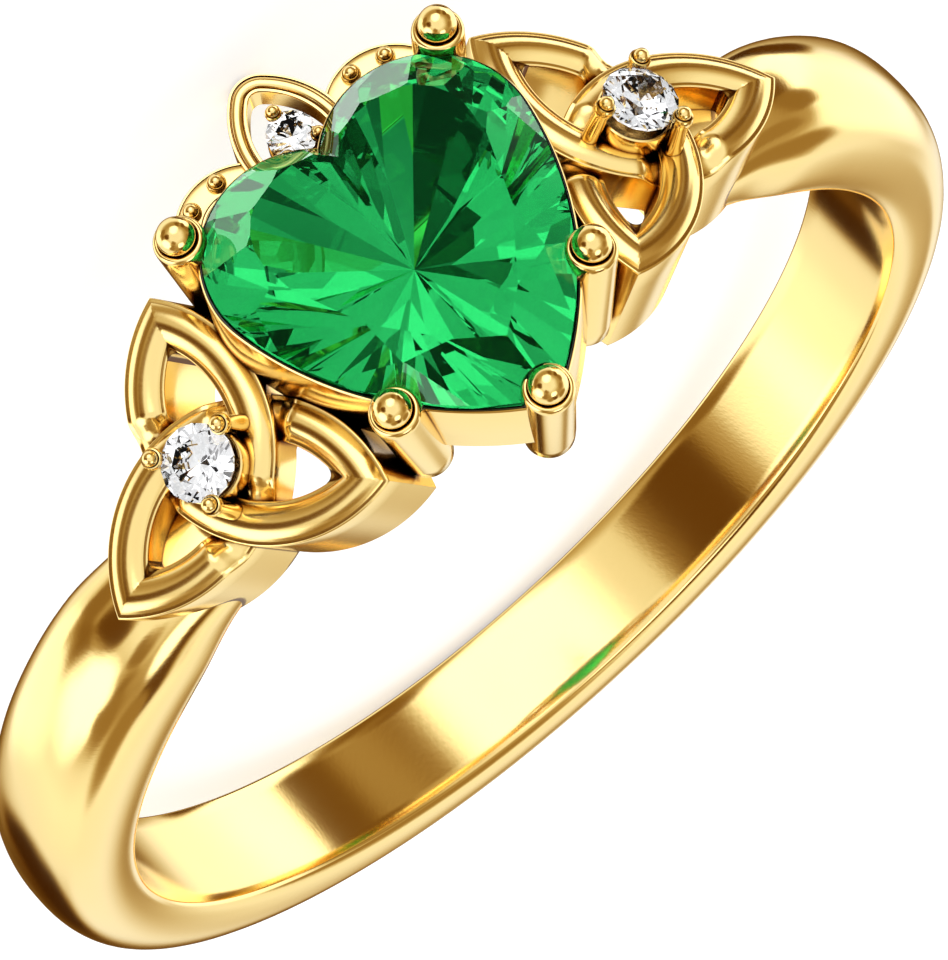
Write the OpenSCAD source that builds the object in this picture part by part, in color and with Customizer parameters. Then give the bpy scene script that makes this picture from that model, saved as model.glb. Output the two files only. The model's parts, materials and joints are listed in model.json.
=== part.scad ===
// Birthstone ring: a heart-cut green stone between two trinity knots, with a small crown
// above the heart's cleft. The ring lies on its side, as it rests on a table.
//
// It is built standing first: X runs across the head, Y towards the crown, and Z out
// through the head. The finger axis is Y. The last step turns it to lie as it rests.

/* [Finger hole and shank] */
// Radius of the finger hole
bore_r = 8.65; // [8.6:0.01:8.7]
// Half width of the flat inside of the shank
flat_half = 1.0; // [0.9:0.05:1.05]
// Outer radius of the shank at the back of the finger
shank_r = 10.25; // [10.1:0.05:10.4]
// Outer radius of the shoulders, where they swell beside the knots
shoulder_r = 10.6; // [10.5:0.05:10.7]

/* [Heart stone] */
// Width of the heart across its lobes
heart_w = 5.9; // [5.8:0.05:6]
// Distance of the lobes' tops from the middle of the band
heart_top = 3.07; // [3:0.01:3.1]
// Distance of the heart's point from the middle of the band
heart_point = 3.1; // [3:0.05:3.2]
// Radius of each lobe
lobe_r = 1.73; // [1.7:0.01:1.76]
// Height of the heart's girdle above the finger axis
heart_z = 11.4; // [11.3:0.05:11.5]
// Height of the heart's crown above its girdle
heart_crown = 0.68; // [0.6:0.02:0.76]
// Depth of the heart's pavilion under its girdle
heart_depth = 2.5; // [2.3:0.05:2.55]

/* [Basket] */
// Distance of the basket wall's outside from the heart's edge
wall_out = 0.08; // [0.06:0.01:0.1]
// Distance of the basket wall's inside from the heart's edge
wall_in = 0.22; // [0.18:0.01:0.26]
// Height of the basket wall
wall_h = 1.45; // [1.3:0.05:1.6]
// Radius of a prong's post
post_r = 0.43; // [0.4:0.01:0.44]
// Radius of the ball on a prong
ball_r = 0.32; // [0.3:0.01:0.34]

/* [Knots] */
// Angle of each knot from the top of the ring
knot_lean = 24.5; // [24:0.1:25]
// Distance of the knots' top face from the finger axis
knot_z = 10.42; // [10.38:0.01:10.46]
// Shift of the knots towards the crown
knot_y = 0.28; // [0.22:0.01:0.34]
// Turn of the knots in their own plane
knot_turn = -9.5; // [-11:0.5:-8]
// Distance of the strands' meeting points from the knot's middle
tip_r = 2.54; // [2.48:0.01:2.58]
// Width of a strand
strand_w = 0.72; // [0.68:0.01:0.74]
// Depth of a knot's walls
knot_depth = 1.9; // [1.85:0.01:1.95]
// Depth of the strands where they pass the knot's middle
core_depth = 0.8; // [0.7:0.01:0.9]
// Radius of the rounded ridge on each strand
ridge_r = 0.39; // [0.37:0.01:0.41]

/* [Small stones] */
// Radius of a knot's round stone
accent_r = 0.64; // [0.62:0.01:0.65]
// Radius of the crown's round stone
crown_stone_r = 0.42; // [0.4:0.01:0.43]

/* [Crown] */
// Distance of the crown's top from the middle of the band
crown_top = 4.76; // [4.72:0.01:4.82]
// Half width of the crown's middle arch
arch_half = 0.94; // [0.92:0.01:0.98]
// Height of the crown's face above the finger axis
crown_z = 10.5; // [10.45:0.01:10.55]
// Thickness of the crown's ribbons
crown_depth = 0.5; // [0.44:0.01:0.56]

/* [Hidden] */
$fn = 48;

gold = "#e8b64a";
green = "#0f8a3c";
clear_white = "#eef2f5";

// Room left between a stone and the metal that holds it
stone_gap = 0.04;
// A size well past the whole ring, for cutting tools
far = 30;

// Sections of the shank from the knot to the back of the finger.
// Columns: angle from the top of the ring, outer radius, half width.
shank_rows = [
    [27, 9.50, 0.85],
    [33, 9.90, 0.98],
    [39, 10.32, 1.05],
    [46, shoulder_r, 1.20],
    [56, shoulder_r, 1.26],
    [70, 10.42, 1.28],
    [90, 10.22, 1.25],
    [130, shank_r, 1.19],
    [180, shank_r, 1.16]];
ANGLE = 0;
OUTER = 1;
HALF_W = 2;
section_count = 60;
// The loft stays this far outside the finger hole, whose true round wall is a turned liner
loft_clear = 0.06;
// The underside of the head is hollowed a little wider than the finger hole
head_clear = 0.03;
liner_wall = 0.3;
liner_start = 35;
liner_half = 0.82;
// Share of the wall's thickness at which the shank is widest
widest_at = 0.4;
dome_fullness = 0.84;

// Posts of the basket. Columns: ball x, ball y, foot x, foot y, foot z. Mirrored in X.
ball_z = 11.74;
side_posts = [
    [2.7, 2.85, 2.38, 2.62, 9.1],
    [2.05, -1.65, 1.62, -1.71, 9.1]];
point_post = [0, -2.98, 0, -2.74, 9.1];
// A post ends this far under its ball's middle, and its rim is cut back by a cone
rim_drop = 0.17;
rim_cone = 0.08;

// Slope of a side of the heart where it leaves its lobe
blend_angle = -10;
lobe_c = [heart_w / 2 - lobe_r, heart_top - lobe_r];
blend_dir = [cos(blend_angle), sin(blend_angle)];
blend_p = lobe_c + lobe_r * blend_dir;
// The long side arc leaves the lobe smoothly and passes through the heart's point
to_point = [0, -heart_point] - blend_p;
side_r = -(to_point * to_point) / (2 * (to_point * blend_dir));
side_c = blend_p - side_r * blend_dir;
cleft = [0, lobe_c[1] + sqrt(lobe_r * lobe_r - lobe_c[0] * lobe_c[0])];
girdle_h = 0.1;

// Facets round one half of the heart. Columns: direction, slope above the girdle.
// They are steeper along the lobes' tops, so the table comes close to the cleft.
main_facets = [[-52, 35], [-22, 35], [10, 35], [42, 37], [74, 40], [106, 50], [138, 60]];
half_facets = [[-38, 41], [-6, 41], [26, 42], [58, 45], [90, 49], [122, 60]];
SLOPE = 1;
// The metal round the stone is cut back at this slope above the girdle
seat_slope = 38;
// Half width of the seat's blunt lower end, so that it clears the steeper facets
seat_end = 0.3;
// The culet lies nearer the cleft than the middle of the band
culet_y = 0.42;
// The short facets below the girdle are steeper than a plane to the culet
half_steeper = 7;

// Each strand is an arc whose centre lies beyond the knot's middle
arc_shift = 0.62 * tip_r;
arc_r = sqrt(tip_r * tip_r + arc_shift * arc_shift - arc_shift * tip_r);
// Distance of the inner crossings from the knot's middle
crossing_r = (sqrt(4 * arc_r * arc_r - 3 * arc_shift * arc_shift) - arc_shift) / 2;
under_depth = 0.12;
under_room = 0.07;
// The strand above is cleared this far round a crossing
crossing_reach = 0.72;
// A ridge starts this far under the strand's top edges, and its centre lies deeper
ridge_root = 0.01;
ridge_drop = 0.27;
// The underside of a knot is cut out round its middle, so that its windows are open
core_r = 1.05;

accent_z = 0.74;
cup_r = 0.64;
cup_hole_r = 0.46;
claw_r = 0.14;
claw_ball_r = 0.18;

// The arch is a small arc at its top that runs smoothly into a long arc on either side
arch_w = 0.33;
arch_foot_y = 3.3;
top_arc_r = 0.35;
// The small arc is this much wider on either side, so that it takes in the long arcs' ends
arch_overlap = 0.003;
top_arc_y = crown_top - arch_w / 2 - arch_overlap - top_arc_r;
arch_rise = top_arc_y - arch_foot_y;
foot_x = arch_half - arch_w / 2;
arch_r = (foot_x * foot_x + arch_rise * arch_rise - top_arc_r * top_arc_r)
    / (2 * (foot_x - top_arc_r));
arch_turn = atan2(arch_rise, arch_r - foot_x);
loop_c = [1.55, 2.75];
loop_r = 0.9;
loop_w = 0.5;
bead_r = 0.15;
arch_ridge_r = 0.12;
arch_ridge_drop = 0.02;
crown_stone_y = 3.42;
crown_stone_z = 10.6;

back_half = shank_rows[8][HALF_W];
arch_bottom_z = crown_z - crown_depth;

// The ring rests on the foot of the crown's arch and on the rim at the back of the shank.
// Distance of the finger axis above each of them when the head is raised by an angle.
function crown_drop(tilt) = crown_top * cos(tilt) - arch_bottom_z * sin(tilt);
function back_drop(tilt) = max([for (p = shank_section(shank_r, back_half))
    p[0] * cos(tilt) + p[1] * sin(tilt)]);

// The angle at which both touch the table, found by halving
function level_tilt(low, high, steps) =
    let (middle = (low + high) / 2)
    steps == 0 ? middle :
    crown_drop(middle) > back_drop(middle) ? level_tilt(middle, high, steps - 1) :
    level_tilt(low, middle, steps - 1);

rest_tilt = level_tilt(0, 30, 30);
rest_height = crown_drop(rest_tilt);
// How far the lying ring reaches to either side of the finger hole's middle
head_reach = ball_z * cos(rest_tilt) + side_posts[0][1] * sin(rest_tilt) + ball_r;
back_reach = max([for (p = shank_section(shank_r, back_half))
    p[1] * cos(rest_tilt) + p[0] * sin(rest_tilt)]);
rest_shift = (head_reach - back_reach) / 2;

function slope_at(rows, i, c) =
    let (a = max(i - 1, 0), b = min(i + 1, len(rows) - 1))
    i == len(rows) - 1 ? 0 : (rows[b][c] - rows[a][c]) / (rows[b][ANGLE] - rows[a][ANGLE]);

function row_before(rows, angle) =
    max([for (i = [0:len(rows) - 2]) if (angle >= rows[i][ANGLE] - 0.001) i]);

// Value of column c at an angle, on a smooth curve through the rows
function along(rows, angle, c) =
    let (
        i = row_before(rows, angle),
        span = rows[i + 1][ANGLE] - rows[i][ANGLE],
        s = (angle - rows[i][ANGLE]) / span)
    (2 * s * s * s - 3 * s * s + 1) * rows[i][c]
    + (s * s * s - 2 * s * s + s) * span * slope_at(rows, i, c)
    + (3 * s * s - 2 * s * s * s) * rows[i + 1][c]
    + (s * s * s - s * s) * span * slope_at(rows, i + 1, c);

// One closed section of the shank: points of [across, radius]
function shank_section(outer, half) =
    let (
        wide_r = bore_r + widest_at * (outer - bore_r),
        inner_r = bore_r + loft_clear,
        low = flat_half * half / back_half)
    concat(
        [for (t = [0:18:180]) [
            half * sign(cos(t)) * pow(abs(cos(t)), dome_fullness),
            wide_r + (outer - wide_r) * pow(sin(t), dome_fullness)]],
        [for (t = [22.5:22.5:90]) [
            -low - (half - low) * cos(t),
            wide_r - (wide_r - inner_r) * sin(t)]],
        [for (t = [90:-22.5:22.5]) [
            low + (half - low) * cos(t),
            wide_r - (wide_r - inner_r) * sin(t)]]);

// Distance from the middle of the ring to the edge of one half of the heart, in a direction
function heart_reach(dir) =
    let (e = [cos(dir), sin(dir)])
    max(dir > blend_angle ? lobe_c * e + lobe_r : side_c * e + side_r,
        dir > 130 ? cleft * e : 0);

// Slope of a plane from the girdle to the culet
function slope_below(dir) =
    atan((heart_depth - girdle_h / 2) / (heart_reach(dir) - culet_y * sin(dir)));

// Cuts away what lies outside a flat facet that meets the girdle
module facet(dir, reach, z, slope, up) {
    rotate([0, 0, dir])
        translate([reach, 0, z])
            rotate([0, (up ? -1 : 1) * (90 - slope), 0])
                translate([0, -far / 2, -far / 2])
                    cube(far);
}

module heart_half_outline(grow, lobe_fn = 96, side_fn = 192) {
    intersection() {
        translate(lobe_c)
            circle(r = lobe_r + grow, $fn = lobe_fn);
        polygon([[0, far], [0, lobe_c[1]], lobe_c, lobe_c + far * blend_dir, [far, far]]);
    }
    intersection() {
        translate(side_c)
            circle(r = side_r + grow, $fn = side_fn);
        polygon([[0, -far], [0, lobe_c[1]], lobe_c, lobe_c + far * blend_dir, [far, -far]]);
    }
}

module heart_outline(grow) {
    heart_half_outline(grow);
    mirror([1, 0])
        heart_half_outline(grow);
}

// One half of the cut heart, its girdle at z = 0
module heart_half_cut() {
    difference() {
        translate([0, 0, -heart_depth])
            linear_extrude(heart_depth + heart_crown)
                heart_half_outline(0);
        for (f = concat(main_facets, half_facets))
            facet(f[0], heart_reach(f[0]), girdle_h / 2, f[SLOPE], true);
        for (f = main_facets)
            facet(f[0], heart_reach(f[0]), -girdle_h / 2, slope_below(f[0]), false);
        for (f = half_facets)
            facet(f[0], heart_reach(f[0]), -girdle_h / 2, slope_below(f[0]) + half_steeper, false);
    }
}

module heart_cut() {
    heart_half_cut();
    mirror([1, 0, 0])
        heart_half_cut();
}

// Points of a ring of corners. Half a step turns the ring between the main facets.
function ring_of(n, r, z, turn) = [for (k = [0:n - 1])
    [r * cos((k + turn) * 360 / n), r * sin((k + turn) * 360 / n), z]];

// A round brilliant with its girdle at z = 0: table, stars, kites, halves, girdle and culet
module brilliant(r) {
    top = 0.32 * r;
    deep = 0.84 * r;
    girdle = 0.04 * r;
    table_r = 0.56 * r;
    star_r = 0.80 * r;
    lower_r = 0.26 * r;
    // Heights that keep each kite flat from the table or the culet out to the girdle
    star_z = girdle + (top - girdle) * (r - star_r * cos(22.5)) / (r - table_r);
    lower_z = -girdle - (deep - girdle) * (1 - lower_r * cos(22.5) / r);
    TABLE = 0;
    STAR = 8;
    RIM_UP = 16;
    RIM_DOWN = 32;
    LOWER = 48;
    CULET = 56;
    polyhedron(
        points = concat(
            ring_of(8, table_r, top, 0),
            ring_of(8, star_r, star_z, 0.5),
            ring_of(16, r, girdle, 0),
            ring_of(16, r, -girdle, 0),
            ring_of(8, lower_r, lower_z, 0.5),
            [[0, 0, -deep]]),
        faces = concat(
            [[for (k = [7:-1:0]) TABLE + k]],
            [for (k = [0:7]) [TABLE + k, TABLE + (k + 1) % 8, STAR + k]],
            [for (k = [0:7]) [TABLE + k, STAR + k, RIM_UP + 2 * k, STAR + (k + 7) % 8]],
            [for (k = [0:7]) [STAR + k, RIM_UP + 2 * k + 1, RIM_UP + 2 * k]],
            [for (k = [0:7]) [STAR + k, RIM_UP + (2 * k + 2) % 16, RIM_UP + 2 * k + 1]],
            [for (k = [0:15]) [RIM_UP + k, RIM_UP + (k + 1) % 16, RIM_DOWN + (k + 1) % 16, RIM_DOWN + k]],
            [for (k = [0:7]) [LOWER + k, RIM_DOWN + 2 * k, RIM_DOWN + 2 * k + 1]],
            [for (k = [0:7]) [LOWER + k, RIM_DOWN + 2 * k + 1, RIM_DOWN + (2 * k + 2) % 16]],
            [for (k = [0:7]) [CULET, LOWER + (k + 7) % 8, RIM_DOWN + 2 * k, LOWER + k]]));
}

// The turned seat that a brilliant rests in, a little larger than the stone
module round_seat(r) {
    size = r + stone_gap;
    rotate_extrude()
        polygon([
            [0, -0.84 * r - 2 * stone_gap],
            [size, -stone_gap],
            [size, 2 * stone_gap],
            [0.56 * size, 0.32 * r + 2 * stone_gap],
            [0, 0.32 * r + 2 * stone_gap]]);
}

// The seat cut into the heart's prongs and basket, a little larger than the stone
module heart_seat() {
    for (side = [0, 1])
        mirror([side, 0, 0])
            hull() {
                translate([0, 0, -girdle_h / 2 - stone_gap])
                    linear_extrude(girdle_h + 2 * stone_gap)
                        heart_half_outline(stone_gap, 40, 72);
                linear_extrude(heart_crown + stone_gap)
                    heart_half_outline(stone_gap - heart_crown / tan(seat_slope), 24, 60);
                translate([-0.01, culet_y - seat_end, -heart_depth - 2 * stone_gap])
                    cube([seat_end, 2 * seat_end, 0.1]);
            }
}

// Turns +Z to point from one point to another
module aim(from, to) {
    v = to - from;
    translate(from)
        rotate([0, atan2(norm([v[0], v[1]]), v[2]), atan2(v[1], v[0])])
            children();
}

// A straight round rod between two points
module rod(from, to, r) {
    aim(from, to)
        cylinder(r = r, h = norm(to - from), $fn = 32);
}

module shank() {
    start = shank_rows[0][ANGLE];
    step = (360 - 2 * start) / section_count;
    sections = [for (i = [0:section_count])
        let (a = start + i * step, b = min(a, 360 - a))
        [for (p = shank_section(along(shank_rows, b, OUTER), along(shank_rows, b, HALF_W)))
            [p[1] * sin(a), p[0], p[1] * cos(a)]]];
    n = len(sections[0]);
    polyhedron(
        points = [for (s = sections) for (p = s) p],
        faces = concat(
            [[for (j = [0:n - 1]) j]],
            [for (i = [0:section_count - 1]) for (j = [0:n - 1])
                [i * n + j, (i + 1) * n + j, (i + 1) * n + (j + 1) % n, i * n + (j + 1) % n]],
            [[for (j = [n - 1:-1:0]) section_count * n + j]]));
}

// The true round wall of the finger hole
module liner() {
    rotate([90, 0, 0])
        rotate_extrude(angle = 360 - 2 * liner_start, start = 90 + liner_start, $fn = 180)
            translate([bore_r, -liner_half])
                square([liner_wall, 2 * liner_half]);
}

// The middle line of a ribbon is an arc round the origin. Its top edges are at z = 0.
module ribbon_ring(r, w, depth, ridge, drop, from = 0, turn = 360) {
    rotate_extrude(angle = turn, start = from, $fn = 96) {
        translate([r - w / 2, -depth])
            square([w, depth]);
        intersection() {
            translate([r, -drop])
                circle(r = ridge, $fn = 64);
            translate([r - w / 2, -ridge_root])
                square([w, ridge]);
        }
    }
}

// The part of a knot that one strand may fill: all but the third behind it
module strand_sector() {
    translate([0, 0, -far / 2])
        linear_extrude(far)
            polygon([[0, 0], for (a = [-120:60:120]) far * [cos(a), sin(a)]]);
}

module strand_ring(w, depth, ridge) {
    translate([-arc_shift, 0, 0])
        ribbon_ring(arc_r, w, depth, ridge, ridge_drop);
}

// One strand, lowered where the next one crosses over it
module strand() {
    difference() {
        intersection() {
            strand_ring(strand_w, knot_depth, ridge_r);
            strand_sector();
        }
        rotate([0, 0, 60])
            translate([crossing_r, 0, -under_depth])
                intersection() {
                    cylinder(r = crossing_reach, h = 1);
                    translate([-crossing_r, 0, 0])
                        rotate([0, 0, 60])
                            translate([-arc_shift, 0, 0])
                                difference() {
                                    cylinder(r = arc_r + strand_w / 2 + under_room, h = 1, $fn = 96);
                                    translate([0, 0, -1])
                                        cylinder(r = arc_r - strand_w / 2 - under_room, h = 3, $fn = 96);
                                }
                }
    }
}

// Ring and three claws that hold a knot's round stone
module cup() {
    difference() {
        translate([0, 0, 0.05])
            cylinder(r = cup_r, h = 0.4);
        translate([0, 0, -0.5])
            cylinder(r = cup_hole_r, h = 2);
    }
    for (k = [0:2])
        rotate([0, 0, 60 + 120 * k]) {
            rod([0.84, 0, -0.2], [0.74, 0, accent_z + 0.16], claw_r);
            translate([0.74, 0, accent_z + 0.16])
                sphere(r = claw_ball_r, $fn = 32);
        }
}

module place_knot(side) {
    mirror([side < 0 ? 1 : 0, 0, 0])
        rotate([0, knot_lean, 0])
            translate([0, knot_y, knot_z])
                rotate([0, 0, knot_turn])
                    children();
}

module knot() {
    difference() {
        for (k = [0:2])
            rotate([0, 0, 120 * k])
                strand();
        translate([0, 0, -far - core_depth])
            cylinder(r = core_r, h = far);
    }
    cup();
}

module post(p, side) {
    foot = [side * p[2], p[3], p[4]];
    top = [side * p[0], p[1], ball_z];
    long = norm(top - foot) - rim_drop;
    aim(foot, top)
        rotate_extrude()
            polygon([
                [0, 0],
                [post_r, 0],
                [post_r, long],
                [post_r - rim_cone, long + rim_cone],
                [0, long + rim_cone]]);
    translate(top)
        sphere(r = ball_r);
}

module basket() {
    translate([0, 0, heart_z - wall_h - girdle_h / 2])
        difference() {
            linear_extrude(wall_h)
                heart_outline(wall_out);
            translate([0, 0, -1])
                linear_extrude(wall_h + 2)
                    heart_outline(-wall_in);
        }
    for (p = side_posts)
        for (side = [-1, 1])
            post(p, side);
    post(point_post, 1);
}

module crown_ribbon(r, w, depth, from, turn, more = 0) {
    ribbon_ring(r, w + 2 * more, depth, arch_ridge_r + more, arch_ridge_drop, from, turn);
}

module crown() {
    translate([0, top_arc_y, crown_z])
        crown_ribbon(top_arc_r, arch_w, crown_depth, arch_turn - 1, 182 - 2 * arch_turn, arch_overlap);
    for (side = [-1, 1])
        mirror([side < 0 ? 1 : 0, 0, 0]) {
            translate([foot_x - arch_r, arch_foot_y, crown_z])
                crown_ribbon(arch_r, arch_w, crown_depth, -15, arch_turn + 15);
            translate([loop_c[0], loop_c[1], crown_z - 0.1])
                crown_ribbon(loop_r, loop_w, crown_depth - 0.1, 16, 124);
            for (dir = [99, 58])
                translate([loop_c[0] + loop_r * cos(dir), loop_c[1] + loop_r * sin(dir), crown_z])
                    sphere(r = bead_r, $fn = 32);
        }
    crown_cup();
}

module crown_cup() {
    claw_top = crown_stone_z + 0.12;
    translate([0, crown_stone_y, 9.7])
        difference() {
            cylinder(r = crown_stone_r, h = crown_stone_z - 0.2 - 9.7);
            translate([0, 0, -1])
                cylinder(r = crown_stone_r - 0.14, h = 3);
        }
    for (dir = [-45, 90, 225])
        translate([0, crown_stone_y, 0])
            rotate([0, 0, dir]) {
                rod([0.38, 0, 9.9], [0.45, 0, claw_top], 0.1);
                translate([0.45, 0, claw_top])
                    sphere(r = 0.14, $fn = 32);
            }
    // Bar from the cup to the basket's wall at the cleft
    rod([0, crown_stone_y - 0.35, 10.05], [0, cleft[1] - 0.1, 10.05], 0.12);
}

// Turns the standing ring to lie on its side, resting on the crown and the shank's rim
module lay_down() {
    translate([0, rest_shift, rest_height])
        rotate([-rest_tilt, 0, 0])
            rotate([0, 180, 0])
                rotate([90, 0, 0])
                    children();
}

module metal() {
    difference() {
        union() {
            shank();
            for (side = [-1, 1])
                place_knot(side)
                    knot();
            basket();
            crown();
        }
        rotate([90, 0, 0])
            cylinder(r = bore_r + head_clear, h = far, center = true, $fn = 180);
        translate([0, 0, heart_z])
            heart_seat();
        for (side = [-1, 1])
            place_knot(side)
                translate([0, 0, accent_z])
                    round_seat(accent_r);
        translate([0, crown_stone_y, crown_stone_z])
            round_seat(crown_stone_r);
    }
    liner();
}

module ring_body() {
    color(gold)
        lay_down()
            metal();
}

module heart_stone() {
    color(green)
        lay_down()
            translate([0, 0, heart_z])
                heart_cut();
}

module knot_stone(side) {
    color(clear_white)
        lay_down()
            place_knot(side)
                translate([0, 0, accent_z])
                    brilliant(accent_r);
}

module knot_stone_left() {
    knot_stone(-1);
}

module knot_stone_right() {
    knot_stone(1);
}

module crown_stone() {
    color(clear_white)
        lay_down()
            translate([0, crown_stone_y, crown_stone_z])
                brilliant(crown_stone_r);
}

ring_body();
heart_stone();
knot_stone_left();
knot_stone_right();
crown_stone();
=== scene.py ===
# %% [markdown]
# # A birthstone ring, dressed for its portrait
# The ring is yellow gold: a domed band, a trinity knot on each shoulder, a heart-cut green stone
# in a five-prong basket, a small crown above the heart's cleft, and three tiny round brilliants.
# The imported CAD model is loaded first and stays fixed. Everything below is built around it.

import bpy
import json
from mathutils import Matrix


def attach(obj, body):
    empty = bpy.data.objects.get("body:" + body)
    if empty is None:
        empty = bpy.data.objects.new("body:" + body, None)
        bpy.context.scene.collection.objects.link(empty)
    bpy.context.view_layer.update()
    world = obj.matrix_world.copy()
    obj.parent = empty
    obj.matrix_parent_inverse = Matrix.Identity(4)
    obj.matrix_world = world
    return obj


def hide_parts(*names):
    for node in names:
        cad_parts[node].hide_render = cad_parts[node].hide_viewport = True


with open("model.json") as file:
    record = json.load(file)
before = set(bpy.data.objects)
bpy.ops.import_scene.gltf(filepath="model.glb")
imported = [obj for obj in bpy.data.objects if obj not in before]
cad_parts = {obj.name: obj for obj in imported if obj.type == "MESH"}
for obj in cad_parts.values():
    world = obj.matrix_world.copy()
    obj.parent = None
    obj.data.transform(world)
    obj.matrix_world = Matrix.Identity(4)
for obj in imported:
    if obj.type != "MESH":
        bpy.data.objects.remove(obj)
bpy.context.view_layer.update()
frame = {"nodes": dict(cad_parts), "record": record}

# %% [markdown]
# ## From the bench drawing to the table
# A goldsmith draws the ring standing: X across the head, Y towards the crown, Z out through the
# stone, in millimetres. On the table it lies on its side. The record says where the finger hole is
# and how it is turned, so one matrix takes every finished piece from the drawing to the table.

# %% The matrix that lays a piece down
import json
import math

import bmesh
import bpy
from mathutils import Matrix, Vector

hole = next(m for m in frame["record"]["mounts"] if m["name"] == "finger_hole")
bore_r = hole["dims"]["r_mm"]
to_crown = -Vector(hole["axis"]).normalized()
across = Vector((-1, 0, 0))
outward = across.cross(to_crown)
turned = Matrix((across, to_crown, outward)).transposed().to_4x4()
lay = Matrix.Translation(hole["pos_m"]) @ turned @ Matrix.Scale(0.001, 4)
print("finger hole radius", bore_r, "mm, tilt",
      round(math.degrees(math.acos(-to_crown.z)), 2), "degrees")

# %% [markdown]
# ## Camera
# The photograph looks down on the head from one side through a long lens. The camera's place was
# found in the drawing's frame, so the same matrix carries it to the table.

# %% Camera at the photograph's viewing angle
camera_at = Vector((-17.68, -32.27, 97.89))
image_right = Vector((0.75786, -0.64774, -0.07799))
image_down = Vector((-0.62949, -0.69456, -0.34831))
forward = Vector((0.17145, 0.31307, -0.93413))
camera = bpy.data.objects.new("camera", bpy.data.cameras.new("camera"))
bpy.context.scene.collection.objects.link(camera)
aim = turned.to_3x3() @ Matrix((image_right, -image_down, -forward)).transposed()
camera.matrix_world = Matrix.Translation(lay @ camera_at) @ aim.normalized().to_4x4()
camera.data.sensor_width = 36
camera.data.lens = 225
camera.data.clip_start = 0.005
bpy.context.scene.camera = camera
print("camera at", [round(c, 4) for c in camera.location])

# %% [markdown]
# ## One small class for shader sums
# Materials are wired from nodes. This class wraps a socket, so that a sum written in Python adds
# the Math nodes, and one method makes any other node from its settings and its sockets.

# %% A socket that can be used in sums
class Wire:
    def __init__(self, tree, socket=None):
        self.tree = tree
        self.socket = socket

    def node(self, kind, sockets=None, output=0, stops=None, **settings):
        """Makes a node. A wire given for a socket is linked to it, any other value is set."""
        made = self.tree.nodes.new(kind)
        for name, value in settings.items():
            setattr(made, name, value)
        for place, (position, colour) in enumerate(stops or []):
            points = made.color_ramp.elements
            stop = points[place] if place < 2 else points.new(position)
            stop.position = position
            stop.color = (*colour, 1)
        for name, value in (sockets or {}).items():
            if isinstance(value, Wire):
                self.tree.links.new(value.socket, made.inputs[name])
            else:
                made.inputs[name].default_value = value
        return Wire(self.tree, made.outputs[output]) if made.outputs else None

    def sum(self, operation, first, second):
        return self.node("ShaderNodeMath", {0: first, 1: second}, operation=operation)

    def __add__(self, other):
        return self.sum("ADD", self, other)

    def __sub__(self, other):
        return self.sum("SUBTRACT", self, other)

    def __rsub__(self, other):
        return self.sum("SUBTRACT", other, self)

    def __mul__(self, other):
        return self.sum("MULTIPLY", self, other)


def blank(block):
    """Empties a material's or world's node tree and returns a wire on it."""
    block.use_nodes = True
    block.node_tree.nodes.clear()
    return Wire(block.node_tree)


# %% [markdown]
# ## Studio
# Polished gold shows the room rather than itself. The ring stands in a pale tent: bright near the
# camera, darker in a ring round it, bright again beyond. White cards and dark flags hang in it, the
# way a jewellery photographer places them, and they draw the cream highlights and brown lines.

# %% Directions seen from the ring
def towards(tilt, turn):
    """A direction tilt degrees off the camera's line, turned clockwise in its picture."""
    t, p = math.radians(tilt), math.radians(turn)
    sideways = image_right * math.cos(p) + image_down * math.sin(p)
    return (turned.to_3x3() @ (sideways * math.sin(t) - forward * math.cos(t))).normalized()


def in_room(direction):
    """A direction in the bench drawing, as the room sees it."""
    return (turned.to_3x3() @ Vector(direction)).normalized()


# %% Tent, cards and flags
world = bpy.data.worlds.new("studio_tent")
bpy.context.scene.world = world
tent = blank(world)
look = tent.node("ShaderNodeTexCoord", output="Generated")
wobble = tent.node("ShaderNodeTexNoise", {"Vector": look, "Scale": 2.2, "Detail": 1.0},
                   output="Fac") - 0.5


def facing(direction):
    """How nearly the look runs towards a direction, from -1 to 1."""
    return tent.node("ShaderNodeVectorMath", {0: look, 1: direction}, output="Value",
                     operation="DOT_PRODUCT")


# Tilt from the camera's line, and the light there
TENT_ROWS = [(0, 1.0), (30, 1.05), (44, 0.85), (56, 0.55), (72, 0.42), (88, 0.50), (98, 0.95),
             (112, 1.15), (132, 1.00), (146, 0.60), (162, 0.18)]
# Tilt, turn, radius and light of each card or flag
CARDS = [(38, -105, 22, 2.2), (76, 138, 22, 2.3), (66, 57, 14, 2.2), (106, -57, 20, 2.1),
         (122, -22, 28, 1.6), (112, 176, 22, 1.6), (136, 74, 17, 1.05), (158, 17, 13, 1.05)]
FLAGS = [(50, 176, 14, 0.13), (42, 98, 12, 0.30), (62, 98, 12, 0.28), (80, 100, 13, 0.33),
         (90, 62, 13, 0.12), (97, 84, 14, 0.35), (76, -82, 14, 0.20), (80, -60, 14, 0.18),
         (84, -36, 13, 0.30), (82, 178, 13, 0.25), (76, 197, 13, 0.28), (131, -86, 10, 0.06),
         (131, -70, 9, 0.10), (102, 28, 15, 0.35), (72, 2, 12, 0.35), (150, 128, 14, 0.05)]
# How far the cloth wanders from a smooth gradient, and the cards' edges from a clean round
tent_drift = 0.05
card_drift = 0.10
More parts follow.
